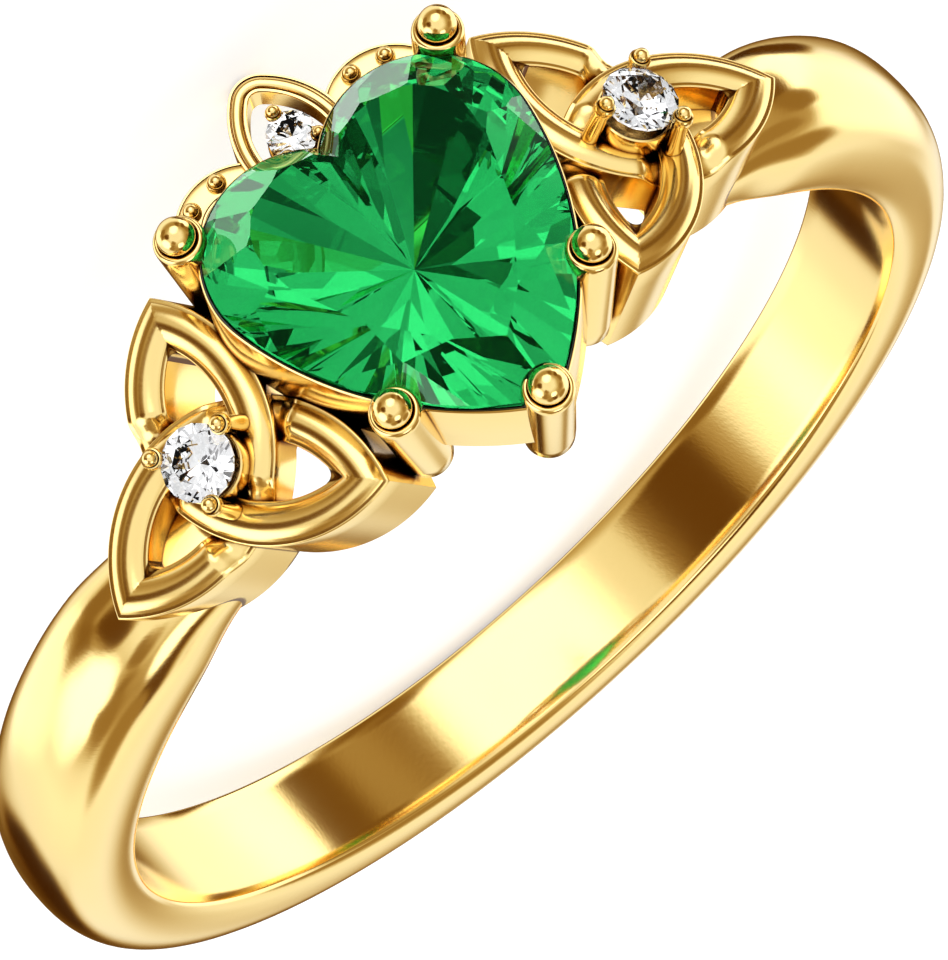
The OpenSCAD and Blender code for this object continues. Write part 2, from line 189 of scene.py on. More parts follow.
# Shares of a card's radius at which its light begins and is full
card_fade = 1.35
card_full = 0.6
tent_top = max(value for _, value in TENT_ROWS)
light = tent.node(
    "ShaderNodeValToRGB", {"Fac": facing(towards(0, 0)) * 0.5 + wobble * tent_drift + 0.5},
    stops=[(0.5 + 0.5 * math.cos(math.radians(tilt)), (value / tent_top,) * 3)
           for tilt, value in reversed(TENT_ROWS)]) * tent_top
for tilt, turn, size, value in CARDS + FLAGS:
    inside = tent.node("ShaderNodeMapRange", {
        "Value": facing(towards(tilt, turn)) + wobble * card_drift,
        "From Min": math.cos(math.radians(size * card_fade)),
        "From Max": math.cos(math.radians(size * card_full))}, interpolation_type="SMOOTHERSTEP")
    light = light + inside * (value - light)

# %% Warm shade for the metal, plain light for the stones
# The dimmer the light on the metal, the less green and blue it keeps
WARM_STOPS = [0.0, 0.03, 0.11, 0.22, 0.35, 0.5, 0.66, 0.9, 1.0]
green_loss = 0.46
blue_loss = 1.5
warm = tent.node("ShaderNodeValToRGB", {"Fac": light}, stops=[
    (value, (value, value * value ** green_loss, value * value ** blue_loss))
    for value in WARM_STOPS])
glare = tent.node("ShaderNodeMath", {0: light - 1.0, 1: 0.0}, operation="MAXIMUM")
for_metal = tent.node("ShaderNodeAddShader", {
    0: tent.node("ShaderNodeBackground", {"Color": warm, "Strength": 1.0}),
    1: tent.node("ShaderNodeBackground", {"Color": (1, 1, 1, 1), "Strength": glare})})
# A stone is lit less from under the head. Its light is then pushed apart, so that a facet is
# either bright or dark.
UNDER_HEAD = {"From Min": -0.60, "From Max": 0.25, "To Min": 0.42}
CONTRAST = {"From Min": 0.16, "From Max": 0.55, "To Min": 0.02, "To Max": 1.0}
stone_light = 1.05
stone_glare = 0.9
front = tent.node("ShaderNodeMapRange", {"Value": facing(in_room((0, 0, 1))), **UNDER_HEAD},
                  interpolation_type="SMOOTHERSTEP")
shown = tent.node("ShaderNodeMapRange", {"Value": light * front, **CONTRAST},
                  interpolation_type="SMOOTHSTEP")
through = shown * stone_light + glare * stone_glare * front
for_stones = tent.node("ShaderNodeBackground", {"Color": (1, 1, 1, 1), "Strength": through})
# A stone's face mirrors perfectly sharply, so its rays can be told from the metal's: it sees dark
# cloth with a few white strips, which lie where chosen facets look. Columns as for the cards.
STRIPS = [(128, -130, 24, 2.6), (98, -55, 12, 3.6), (92, -158, 12, 3.2), (47, 112, 7, 3.2)]
strip_fade = 1.2
strip_full = 0.8
cloth_light = 0.05
cloth_drift = 0.02
strip_light = wobble * cloth_drift + cloth_light
for tilt, turn, size, value in STRIPS:
    inside = tent.node("ShaderNodeMapRange", {
        "Value": facing(towards(tilt, turn)),
        "From Min": math.cos(math.radians(size * strip_fade)),
        "From Max": math.cos(math.radians(size * strip_full)), "To Max": value})
    strip_light = strip_light + inside
on_stones = tent.node("ShaderNodeBackground", {"Color": (1, 1, 1, 1), "Strength": strip_light})
mirrored = tent.node("ShaderNodeMixShader", {
    0: tent.node("ShaderNodeLightPath", output="Is Singular Ray"), 1: for_metal, 2: on_stones})
mirrored = tent.node("ShaderNodeMixShader", {
    0: tent.node("ShaderNodeLightPath", output="Is Transmission Ray"), 1: mirrored, 2: for_stones})
seen = tent.node("ShaderNodeBackground", {"Color": (0.98, 0.98, 0.98, 1), "Strength": 1.0})
plain = tent.node("ShaderNodeLightPath", output="Is Camera Ray") + tent.node(
    "ShaderNodeLightPath", output="Is Diffuse Ray")
everything = tent.node("ShaderNodeMixShader", {0: plain, 1: mirrored, 2: seen})
tent.node("ShaderNodeOutputWorld", {"Surface": everything})
print("tent with", len(CARDS), "cards and", len(FLAGS), "flags")

# %% [markdown]
# The floor is a plain pale sheet, bright enough that the ring seems to stand in light.

# %% Pale floor
floor_size = 1.2
# The sheet lies a hair under the ring, so that the two never share a plane
floor_drop = 0.00002
bpy.ops.object.select_all(action="DESELECT")
bpy.ops.mesh.primitive_plane_add(size=floor_size, location=(0, 0, -floor_drop))
floor = bpy.context.object
floor.name = "floor"
floor.visible_glossy = False
floor.visible_transmission = False
floor_finish = bpy.data.materials.new("pale_floor")
pale = blank(floor_finish)
grain = pale.node("ShaderNodeTexNoise", {"Vector": pale.node("ShaderNodeTexCoord", output="Object"),
                                         "Scale": 60.0, "Detail": 2.0}, output="Fac")
paper = pale.node("ShaderNodeMix", {0: grain, 6: (0.70, 0.70, 0.70, 1), 7: (0.74, 0.74, 0.74, 1)},
                  output=2, data_type="RGBA")
sheet = pale.node("ShaderNodeBsdfPrincipled", {"Base Color": paper, "Roughness": 0.9,
                                               "Emission Color": (1, 1, 1, 1),
                                               "Emission Strength": 0.55})
pale.node("ShaderNodeOutputMaterial", {"Surface": sheet})
floor.data.materials.append(floor_finish)
print("floor", floor.dimensions.x, "m wide")

# %% How the picture is developed
scene = bpy.context.scene
scene.view_settings.view_transform = "Standard"
scene.cycles.max_bounces = 16
scene.cycles.transmission_bounces = 16
scene.cycles.glossy_bounces = 6
scene.cycles.caustics_refractive = True
scene.cycles.use_denoising = True

# %% [markdown]
# ## Yellow gold
# The real metal is cast and polished: nearly a mirror, with a faint haze and very fine wheel marks.
# Shade is painted into its creases and hollows, nearly black in the basket's wall, and the knots
# get a painted dark outline at their rims. Colour and roughness vary a little over the surface.

# %% Polished yellow gold
# How open a place is, and the share of each colour that the painted shade leaves there
HOLLOW_SHADE_ROWS = [(0.0, (0.02, 0.008, 0.003)), (0.16, (0.10, 0.045, 0.02)), (0.42, (0.85, 0.7, 0.5)),
               (0.6, (1, 1, 1))]
CREASE_SHADE_ROWS = [(0.0, (0.03, 0.01, 0.004)), (0.34, (0.38, 0.18, 0.06)), (0.62, (1, 1, 1))]
GROOVE_SHADE_ROWS = [(0.0, (0.03, 0.01, 0.004)), (0.45, (0.34, 0.16, 0.05)), (0.78, (1, 1, 1))]
# Painted shade for the basket's wall, nearly black below its rim
DEEP_SHADE_ROWS = [(0.0, (0.0, 0.0, 0.0)), (0.40, (0.03, 0.012, 0.006)), (0.58, (0.75, 0.6, 0.4)),
             (0.68, (1, 1, 1))]
# How far the painted shade looks in a crease, and inside a rim for its painted dark outline
crease_size = 0.00012
rim_size = 0.00004
shade_samples = 8


def make_gold(name, hollow_size, haze, hollow_shade_rows=HOLLOW_SHADE_ROWS, with_painted_outline=False):
    """hollow_size is how wide a hollow may be and still look dark; haze is the roughness.

    With an outline, grooves get a deeper painted shade and rims a painted dark outline, as on the
    knots.
    """
    finish = bpy.data.materials.new(name)
    wire = blank(finish)
    place = wire.node("ShaderNodeTexCoord", output="Object")
    cloud = wire.node("ShaderNodeTexNoise", {"Vector": place, "Scale": 420.0, "Detail": 3.0},
                      output="Fac")
    marks = wire.node("ShaderNodeTexNoise", {"Vector": wire.node(
        "ShaderNodeMapping", {"Vector": place, "Scale": (1, 6, 2)}), "Scale": 5000.0,
        "Detail": 2.0}, output="Fac")
    # Painted shade: how near other surfaces are darkens the colour in creases and hollows
    crease = wire.node("ShaderNodeAmbientOcclusion", {"Distance": crease_size}, output="AO",
                       samples=shade_samples)
    hollow = wire.node("ShaderNodeAmbientOcclusion", {"Distance": hollow_size}, output="AO",
                       samples=shade_samples)
    bright = wire.node("ShaderNodeMix", {0: cloud, 6: (1.0, 0.74, 0.28, 1),
                                         7: (1.0, 0.78, 0.33, 1)},
                       output=2, data_type="RGBA")
    lines = wire.node("ShaderNodeValToRGB", {"Fac": crease},
                      stops=GROOVE_SHADE_ROWS if with_painted_outline else CREASE_SHADE_ROWS)
    painted_hollow_shade = wire.node("ShaderNodeValToRGB", {"Fac": hollow}, stops=hollow_shade_rows)
    crease_shaded = wire.node("ShaderNodeMix", {0: 1.0, 6: bright, 7: lines}, output=2,
                     data_type="RGBA", blend_type="MULTIPLY")
    colour = wire.node("ShaderNodeMix", {0: 1.0, 6: crease_shaded, 7: painted_hollow_shade}, output=2,
                       data_type="RGBA", blend_type="MULTIPLY")
    if with_painted_outline:
        # Painted dark outline: convex rims darken, standing in for the dark room reflected in their
        # tiny rounding
        rim = wire.node("ShaderNodeAmbientOcclusion", {"Distance": rim_size}, output="AO",
                        samples=shade_samples, inside=True)
        painted_rim_shade = wire.node("ShaderNodeValToRGB", {"Fac": rim}, stops=[
            (0.35, (0.12, 0.05, 0.01)), (0.75, (1, 1, 1))])
        colour = wire.node("ShaderNodeMix", {0: 1.0, 6: colour, 7: painted_rim_shade}, output=2,
                           data_type="RGBA", blend_type="MULTIPLY")
    dents = wire.node("ShaderNodeBump", {"Height": marks, "Strength": 0.03,
                                         "Distance": 0.00002})
    metal = wire.node("ShaderNodeBsdfPrincipled", {
        "Base Color": colour, "Metallic": 1.0, "Roughness": cloud * 0.06 + haze,
        "Normal": dents})
    wire.node("ShaderNodeOutputMaterial", {"Surface": metal})
    return finish


# Each gold below paints shade into its hollows, as far out as its hollow_size
gold = make_gold("polished_gold", 0.0009, 0.10)
band_gold = make_gold("polished_gold_band", 0.0002, 0.09)
knot_gold = make_gold("polished_gold_knots", 0.0006, 0.14, with_painted_outline=True)
deep_shade_gold = make_gold("polished_gold_deep", 0.0024, 0.10, DEEP_SHADE_ROWS)
crown_gold = make_gold("polished_gold_crown", 0.0002, 0.13)
print("golds:", gold.name, band_gold.name, knot_gold.name, deep_shade_gold.name, crown_gold.name)

# %% [markdown]
# ## Stones
# A cut stone shows its colour through its facets: light enters the table, bounces in the pavilion
# and comes back. So the stones are clear all through, the heart green and the brilliants
# colourless.

# %% Clear stones, green and colourless
def make_stone(name, deep, light, bend, bounce, clearness):
    """bounce is the colour that light takes at each turn inside the stone."""
    finish = bpy.data.materials.new(name)
    wire = blank(finish)
    place = wire.node("ShaderNodeTexCoord", output="Object")
    veil = wire.node("ShaderNodeTexNoise", {"Vector": place, "Scale": 700.0, "Detail": 4.0},
                     output="Fac")
    tint = wire.node("ShaderNodeMix", {0: veil, 6: (*deep, 1), 7: (*light, 1)}, output=2,
                     data_type="RGBA")
    stone = wire.node("ShaderNodeBsdfPrincipled", {
        "Base Color": tint, "Roughness": 0.0, "IOR": bend, "Specular Tint": (*bounce, 1),
        "Transmission Weight": clearness})
    wire.node("ShaderNodeOutputMaterial", {"Surface": stone})
    return finish


green_stone = make_stone("green_stone", (0.006, 0.42, 0.075), (0.03, 0.57, 0.145), 1.70,
                         (0.42, 0.90, 0.55), 0.97)
clear_stone = make_stone("clear_stone", (0.94, 0.96, 0.98), (1.0, 1.0, 1.0), 2.2,
                         (1.0, 1.0, 1.0), 1.0)
STONES = {"knot_stone_left": clear_stone, "knot_stone_right": clear_stone,
          "crown_stone": clear_stone}
for node_name, finish in STONES.items():
    stone = frame["nodes"][node_name]
    stone.data.materials.clear()
    stone.data.materials.append(finish)
print("stones:", ", ".join(STONES))

# %% [markdown]
# ## Helpers for the bench
# Each piece is modelled standing and in millimetres, then laid down, given its finish, and tied to
# the fixed frame, where it stands for the soldered CAD metal or for the CAD heart.

# %% Finish a piece
# Corners nearer than this are welded, in millimetres
weld = 0.0005


def hold(piece):
    """Makes a piece the only selected one, ready to be worked on."""
    bpy.ops.object.select_all(action="DESELECT")
    piece.select_set(True)
    bpy.context.view_layer.objects.active = piece


def faces_per_edge(piece):
    """How many faces each edge has. A closed piece has two everywhere."""
    look_at = bmesh.new()
    look_at.from_mesh(piece.data)
    counts = [len(edge.link_faces) for edge in look_at.edges]
    look_at.free()
    return counts


def finish_piece(piece, finish, node_name, angle=35):
    """Closes seams, points faces outwards, smooths, lays the piece down and gives its finish."""
    hold(piece)
    bpy.ops.object.mode_set(mode="EDIT")
    bpy.ops.mesh.select_all(action="SELECT")
    bpy.ops.mesh.remove_doubles(threshold=weld)
    bpy.ops.mesh.select_all(action="SELECT")
    bpy.ops.mesh.normals_make_consistent(inside=False)
    bpy.ops.object.mode_set(mode="OBJECT")
    bpy.ops.object.shade_smooth_by_angle(angle=math.radians(angle))
    piece.matrix_world = lay
    bpy.ops.object.transform_apply(location=True, rotation=True, scale=True)
    piece.data.materials.clear()
    piece.data.materials.append(finish)
    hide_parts(node_name)
    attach(piece, "root")
    loose = sum(1 for count in faces_per_edge(piece) if count != 2)
    print(f"{piece.name}: {len(piece.data.polygons)} faces, {loose} open edges")


def finish_metal(piece, angle=35):
    """Finishes a piece in the plain gold."""
    finish_piece(piece, gold, "ring_body", angle)


# %% Start a line, and cap what it leaves open
def closed_line(name, points):
    """A ring of joined points, ready to be spun or extruded in edit mode."""
    bpy.ops.object.select_all(action="DESELECT")
    bpy.ops.mesh.primitive_circle_add(vertices=len(points), fill_type="NOTHING")
    piece = bpy.context.object
    piece.name = name
    for corner, point in zip(piece.data.vertices, points):
        corner.co = point
    return piece


def cap_open_ends():
    """In edit mode: gives each open end one flat face."""
    bpy.ops.mesh.select_all(action="DESELECT")
    bpy.ops.mesh.select_non_manifold(extend=False, use_wire=False, use_boundary=True,
                                     use_multi_face=False, use_non_contiguous=False,
                                     use_verts=False)
    bpy.ops.mesh.edge_face_add()


# %% [markdown]
# ## Band
# The band is domed outside, nearly flat inside, and swells at the shoulders before it dives under
# the knots. One section of it is spun round the finger, then each spun section is stretched to the
# width and thickness that the band has at that angle.

# %% Section of the band, as shares of its width and thickness
outside_steps = 32
inside_steps = 8


def band_section(widest=0.4, fullness=0.84, flat=0.862):
    """Closed section: across from -1 to 1, and height from 0 inside to 1 outside."""
    outside = []
    for step in range(outside_steps + 1):
        a = math.pi * step / outside_steps
        outside.append((math.copysign(abs(math.cos(a)) ** fullness, math.cos(a)),
                        widest + (1 - widest) * math.sin(a) ** fullness))
    inside = [(-flat - (1 - flat) * math.cos(math.pi / 2 * step / inside_steps),
               widest * (1 - math.sin(math.pi / 2 * step / inside_steps)))
              for step in range(1, inside_steps + 1)]
    other_side = [(-x, h) for x, h in reversed(inside)]
    flat_steps = [(flat * (2 * step / inside_steps - 1), 0.0) for step in range(1, inside_steps)]
    return outside + inside + flat_steps + other_side


# Angle from the head, outer radius, half width
BAND_ROWS = [(27, 9.50, 0.85), (33, 9.90, 0.98), (39, 10.32, 1.05), (46, 10.60, 1.20),
             (56, 10.60, 1.26), (70, 10.42, 1.28), (90, 10.22, 1.25), (130, 10.25, 1.19),
             (180, 10.25, 1.16)]
ANGLE, RADIUS, HALF_WIDTH = 0, 1, 2


def along(angle, column):
    """Smooth curve through the rows of the band, level at the back of the finger."""
    i = max(k for k in range(len(BAND_ROWS) - 1) if angle >= BAND_ROWS[k][ANGLE] - 0.001)

    def slope(k):
        if k == len(BAND_ROWS) - 1:
            return 0
        before, after = BAND_ROWS[max(k - 1, 0)], BAND_ROWS[k + 1]
        return (after[column] - before[column]) / (after[ANGLE] - before[ANGLE])

    low, high = BAND_ROWS[i], BAND_ROWS[i + 1]
    span = high[ANGLE] - low[ANGLE]
    s = (angle - low[ANGLE]) / span
    return ((2 * s ** 3 - 3 * s ** 2 + 1) * low[column]
            + (s ** 3 - 2 * s ** 2 + s) * span * slope(i)
            + (3 * s ** 2 - 2 * s ** 3) * high[column]
            + (s ** 3 - s ** 2) * span * slope(i + 1))


# %% Spin the section and stretch it along the rows
# The fixed model's flat steps fall a hair short of the true curve, and the finer band keeps to them
snug_width = 0.992
snug_height = 0.998
band_start = BAND_ROWS[0][ANGLE]
start = math.radians(band_start)
band = closed_line("band", [((bore_r + h) * math.sin(start), x, (bore_r + h) * math.cos(start))
                            for x, h in band_section()])
bpy.ops.object.mode_set(mode="EDIT")
bpy.ops.mesh.select_all(action="SELECT")
bpy.ops.mesh.spin(steps=240, angle=math.radians(360 - 2 * band_start), center=(0, 0, 0),
                  axis=(0, -1, 0))
cap_open_ends()
bpy.ops.object.mode_set(mode="OBJECT")
for corner in band.data.vertices:
    a = math.atan2(corner.co.x, corner.co.z)
    bent = math.degrees(a) % 360
    bent = min(max(min(bent, 360 - bent), band_start), 180)
    height_share = math.hypot(corner.co.x, corner.co.z) - bore_r
    radius = bore_r + height_share * (along(bent, RADIUS) - bore_r) * snug_height
    corner.co = (radius * math.sin(a), corner.co.y * along(bent, HALF_WIDTH) * snug_width,
                 radius * math.cos(a))
finish_piece(band, band_gold, "ring_body", angle=50)

# %% [markdown]
# ## Trinity knots
# Three equal strands weave over and under one another. Each strand is a narrow wall whose top has
# a thin ledge on either side and a low round ridge between. Half a strand is spun from that
# section,
# cut at the mitre where it meets the next strand, mirrored, and lowered where it goes under.

# %% Section of a strand
tip_r = 2.54
strand_half = 0.36
knot_depth = 1.9
ridge_half = 0.28
ridge_high = 0.12
ridge_steps = 14


def strand_section():
    """Half of a strand's top from the wall to the ridge's crest, then its mirror image."""
    half = [(strand_half, -knot_depth), (strand_half, -1.2), (strand_half, -0.5),
            (strand_half, -0.040), (strand_half - 0.003, -0.024), (strand_half - 0.010, -0.010),
            (strand_half - 0.022, -0.002), (strand_half - 0.035, 0.0)]
    ridge_r = (ridge_half ** 2 + ridge_high ** 2) / (2 * ridge_high)
    for step in range(ridge_steps + 1):
        u = ridge_half * (1 - step / ridge_steps)
        half.append((u, math.sqrt(ridge_r ** 2 - u ** 2) - ridge_r + ridge_high))
    return half + [(-u, z) for u, z in reversed(half[:-1])]


arc_shift = 0.62 * tip_r
arc_r = math.sqrt(tip_r ** 2 + arc_shift ** 2 - arc_shift * tip_r)
crossing_r = (math.sqrt(4 * arc_r ** 2 - 3 * arc_shift ** 2) - arc_shift) / 2
print("strand arc radius", round(arc_r, 3), "crossings at", round(crossing_r, 3))

# %% Half a strand, mitred and mirrored
strand = closed_line("strand", [(arc_r - arc_shift + u, 0, z) for u, z in strand_section()])
bpy.ops.object.mode_set(mode="EDIT")
bpy.ops.mesh.select_all(action="SELECT")
bpy.ops.mesh.spin(steps=60, angle=math.radians(100), center=(-arc_shift, 0, 0), axis=(0, 0, -1))
bpy.ops.mesh.select_all(action="SELECT")
bpy.ops.mesh.bisect(plane_co=(0, 0, 0),
                    plane_no=(-math.sin(math.radians(120)), math.cos(math.radians(120)), 0),
                    clear_outer=True, clear_inner=False, use_fill=False)
bpy.ops.object.mode_set(mode="OBJECT")
halves = strand.modifiers.new("other_half", "MIRROR")
halves.use_axis = (False, True, False)
halves.merge_threshold = 0.001
bpy.ops.object.modifier_apply(modifier=halves.name)
print("strand", len(strand.data.polygons), "faces, reach in Y",
      round(max(v.co.y for v in strand.data.vertices), 2))

# %% Thin the strand near the knot's middle, and lower it where the next one crosses over
core_r = 1.05
core_depth = 0.8
core_blend = 0.12
# Corners at least this far under the top belong to the walls, which are shortened
wall_from = 0.1
under_angle = math.atan2(crossing_r * math.sin(math.pi / 3),
                         crossing_r * math.cos(math.pi / 3) + arc_shift)
# The lowered stretch, half its length, the ramp at each end, and the heights over which the
# lowering grows from nothing in the wall to all of it on top
dip = 0.22
dip_half = 0.42
dip_ramp = 0.36
dip_root = 1.0
dip_rise = 0.8


def eased(x):
    x = min(max(x, 0.0), 1.0)
    return x * x * (3 - 2 * x)


for corner in strand.data.vertices:
    core = 1 - eased((math.hypot(corner.co.x, corner.co.y) - core_r) / core_blend)
    if corner.co.z < -wall_from:
        corner.co.z *= 1 - core * (1 - core_depth / knot_depth)
    run = arc_r * (math.atan2(corner.co.y, corner.co.x + arc_shift) - under_angle)
    share = 1 - eased((abs(run) - dip_half) / dip_ramp)
    corner.co.z -= dip * share * eased((corner.co.z + dip_root) / dip_rise)

# %% Fillet that rounds a window's corner at the tip
fillet_r = 0.15
fillet_steps = 8
# The fillet reaches back into the strands, and ends a hair under their tops
fillet_back = 0.45
fillet_sunk = 0.012


def window_fillet():
    """Small prism between two strands' walls at their meeting point."""
    tip_dir = Vector((math.cos(math.radians(120)), math.sin(math.radians(120))))
    centres = [Vector((-arc_shift, 0)), Vector((arc_shift / 2, arc_shift * math.sin(math.pi / 3)))]
    wall_r = arc_r - strand_half
    away = (arc_shift + math.sqrt(4 * (wall_r - fillet_r) ** 2 - 3 * arc_shift ** 2)) / 2
    middle = tip_dir * away
    ends = [(middle - c).normalized() for c in centres]
    line = [tip_dir * (away + fillet_back)]
    for step in range(fillet_steps + 1):
        share = step / fillet_steps
        line.append(middle + fillet_r * (ends[0] * (1 - share) + ends[1] * share).normalized())
    piece = closed_line("fillet", [(p.x, p.y, -knot_depth) for p in line])
    bpy.ops.object.mode_set(mode="EDIT")
    bpy.ops.mesh.select_all(action="SELECT")
    bpy.ops.mesh.edge_face_add()
    bpy.ops.mesh.extrude_region_move(
        TRANSFORM_OT_translate={"value": (0, 0, knot_depth - fillet_sunk)})
    bpy.ops.object.mode_set(mode="OBJECT")
    return piece


fillet = window_fillet()
print("fillet", len(fillet.data.polygons), "faces")

# %% [markdown]
# Three turned copies make one knot. The two knots mirror each other across the head, and each
# leans with the shoulder it stands on.

# %% Two knots from copies of the strand
knot_lean = 24.5
knot_place = (0, 0.28, 10.42)
knot_turn = -9.5


def knot_matrix(side):
    """From a knot's own plane to its shoulder: side 1 is +X, -1 is -X."""
    flip = Matrix.Diagonal((side, 1, 1, 1))
    return (flip @ Matrix.Rotation(math.radians(knot_lean), 4, "Y")
            @ Matrix.Translation(knot_place) @ Matrix.Rotation(math.radians(knot_turn), 4, "Z"))


def copy_of(piece, name, place):
    """A copy with its own mesh, moved by a matrix."""
    made = piece.copy()
    made.data = piece.data.copy()
    made.name = name
    bpy.context.scene.collection.objects.link(made)
    made.data.transform(place)
    return made


def joined(name, parts):
    """Makes one piece of several."""
    bpy.ops.object.select_all(action="DESELECT")
    for part in parts:
        part.select_set(True)
    bpy.context.view_layer.objects.active = parts[0]
    bpy.ops.object.join()
    parts[0].name = name
    return parts[0]


for side_name, side_sign in (("right", 1), ("left", -1)):
    strands = [copy_of(strand, f"strand_{side_name}_{k}", knot_matrix(side_sign)
                       @ Matrix.Rotation(math.radians(120 * k), 4, "Z")) for k in range(3)]
    strands += [copy_of(fillet, f"fillet_{side_name}_{k}", knot_matrix(side_sign)
                        @ Matrix.Rotation(math.radians(120 * k), 4, "Z")) for k in range(3)]
    finish_piece(joined(f"knot_{side_name}", strands), knot_gold, "ring_body", angle=38)
bpy.data.objects.remove(strand)
bpy.data.objects.remove(fillet)

# %% [markdown]
# ## Round posts, cups and balls
# Posts, claws and cups are turned shapes. A disc is extruded and scaled through rows of radius and
# height, which is how a lathe would read the same drawing, and then tilted to its place.

# %% Turn a shape from rows of radius and height
# A ball's last disc is this small, rather than a point
pole_r = 0.004


def turned_piece(name, rows, sides=32):
    """rows are pairs of radius and height, from the foot upwards."""
    bpy.ops.object.select_all(action="DESELECT")
    radius, level = rows[0]
    bpy.ops.mesh.primitive_circle_add(vertices=sides, radius=radius, fill_type="NGON",
                                      location=(0, 0, level))
    piece = bpy.context.object
    piece.name = name
    bpy.ops.object.transform_apply(location=True, rotation=False, scale=False)
    bpy.ops.object.mode_set(mode="EDIT")
    bpy.ops.mesh.select_all(action="SELECT")
    for next_radius, next_level in rows[1:]:
        bpy.ops.mesh.extrude_region_move(
            TRANSFORM_OT_translate={"value": (0, 0, next_level - level)})
        share = next_radius / radius
        bpy.ops.transform.resize(value=(share, share, 1), center_override=(0, 0, next_level))
        radius, level = next_radius, next_level
    bpy.ops.object.mode_set(mode="OBJECT")
    return piece


def ball_rows(radius, level, neck, steps=14):
    """A ball that starts where it is as wide as its neck and ends at its top."""
    first = math.acos(min(neck / radius, 1.0))
    return [(max(radius * math.cos(a), pole_r), level + radius * math.sin(a))
            for a in [-first + (math.pi / 2 + first) * k / steps for k in range(steps + 1)]]


def between(foot, top):
    """Stands a turned piece on foot, pointing at top."""
    direction = (Vector(top) - Vector(foot)).normalized()
    return Matrix.Translation(foot) @ direction.to_track_quat("Z", "Y").to_matrix().to_4x4()


# %% Cups and claws of the two knot stones
accent_z = 0.74
claw_foot = Vector((0.84, 0, -0.2))
claw_top = Vector((0.74, 0, accent_z + 0.16))
claw_length = (claw_top - claw_foot).length
claw = turned_piece("claw", [
    (0.10, 0.0), (0.14, 0.05), (0.14, 0.5), (0.14, claw_length - 0.2), (0.165, claw_length - 0.14),
    (0.18, claw_length - 0.08), (0.18, claw_length - 0.03), (0.165, claw_length + 0.005),
    (0.145, claw_length + 0.01), (0.125, claw_length - 0.005)]
    + ball_rows(0.13, claw_length + 0.05, 0.118), sides=32)
cup = turned_piece("cup", [(0.56, -0.1), (0.60, -0.05), (0.62, 0.1), (0.64, 0.38), (0.635, 0.43),
                           (0.61, 0.45), (0.585, 0.445), (0.56, 0.42), (0.54, 0.38), (0.46, 0.30),
                           (0.42, 0.10), (0.05, 0.06)], sides=64)
for side_name, side_sign in (("right", 1), ("left", -1)):
    parts = [copy_of(cup, f"cup_{side_name}", knot_matrix(side_sign))]
    for k in range(3):
        swing = Matrix.Rotation(math.radians(60 + 120 * k), 4, "Z")
        parts.append(copy_of(claw, f"claw_{side_name}_{k}",
                             knot_matrix(side_sign) @ swing @ between(claw_foot, claw_top)))
    finish_metal(joined(f"knot_cup_{side_name}", parts))
bpy.data.objects.remove(cup)
bpy.data.objects.remove(claw)

# %% [markdown]
# ## Heart basket
# A low wall follows the heart's outline just under its girdle. Its outline is two lobes and two
# long side arcs, drawn at any distance from the stone's edge, so the wall's rim can be rounded.

# %% Outline of the heart, grown or shrunk
heart_z = 11.4
heart_w = 5.9
heart_top = 3.07
heart_point = 3.1
lobe_r = 1.73
# Direction in which a lobe passes into the long side arc
blend_turn = -10
lobe_c = Vector((heart_w / 2 - lobe_r, heart_top - lobe_r))
blend = math.radians(blend_turn)
blend_dir = Vector((math.cos(blend), math.sin(blend)))
blend_p = lobe_c + lobe_r * blend_dir
to_point = Vector((0, -heart_point)) - blend_p
side_r = -to_point.length_squared / (2 * to_point.dot(blend_dir))
side_c = blend_p - side_r * blend_dir


def heart_line(grow, level, lobe_steps=40, side_steps=40):
    """Closed outline at a distance from the heart's edge, from the cleft round to the cleft."""
    first = math.acos(-lobe_c.x / (lobe_r + grow))
    last = -math.acos(-side_c.x / (side_r + grow))
    half = []
    for k in range(lobe_steps):
        a = first + (blend - first) * k / lobe_steps
        half.append((lobe_c.x + (lobe_r + grow) * math.cos(a),
                     lobe_c.y + (lobe_r + grow) * math.sin(a), level))
    for k in range(side_steps + 1):
        a = blend + (last - blend) * k / side_steps
        half.append((side_c.x + (side_r + grow) * math.cos(a),
                     side_c.y + (side_r + grow) * math.sin(a), level))
    return half + [(-x, y, z) for x, y, z in reversed(half[1:-1])]


def lofted(name, loops):
    """Extrudes a closed line loop by loop, and moves each new loop to its own points."""
    piece = closed_line(name, loops[0])
    around = len(loops[0])
    bpy.ops.object.mode_set(mode="EDIT")
    bpy.ops.mesh.select_all(action="SELECT")
    for _ in loops[1:]:
        bpy.ops.mesh.extrude_edges_move(TRANSFORM_OT_translate={"value": (0, 0, 0.01)})
    bpy.ops.object.mode_set(mode="OBJECT")
    for row, loop in enumerate(loops):
        for k, point in enumerate(loop):
            piece.data.vertices[row * around + k].co = point
    return piece


# %% The basket's wall
# Half the height of the stone's girdle, under which the wall ends
girdle = 0.05
wall_top = heart_z - girdle
wall_rows = [(0.08, -1.45), (0.08, -1.0), (0.08, -0.05), (0.072, -0.02), (0.055, -0.003),
             (0.04, -0.012), (0.03, -0.05), (-0.02, -0.10), (-0.14, -0.22), (-0.22, -0.34),
             (-0.22, -1.0), (-0.22, -1.45), (-0.07, -1.47), (0.08, -1.45)]
wall = lofted("basket_wall", [heart_line(grow, wall_top + z) for grow, z in wall_rows])
# The wall's gold paints deep shade below the rim, nearly black
finish_piece(wall, deep_shade_gold, "ring_body", angle=40)

# %% [markdown]
# ## Heart stone
# The CAD heart has its main facets. The real cut has more: a ring of short facets at the girdle
# above and below, stars round the table, and narrow rays from the culet. One half of the heart is
# convex, so a block in the half's outline is cut by flat planes with bisect, the way a lapidary
# grinds one facet after another, and the finished half is mirrored across the cleft.

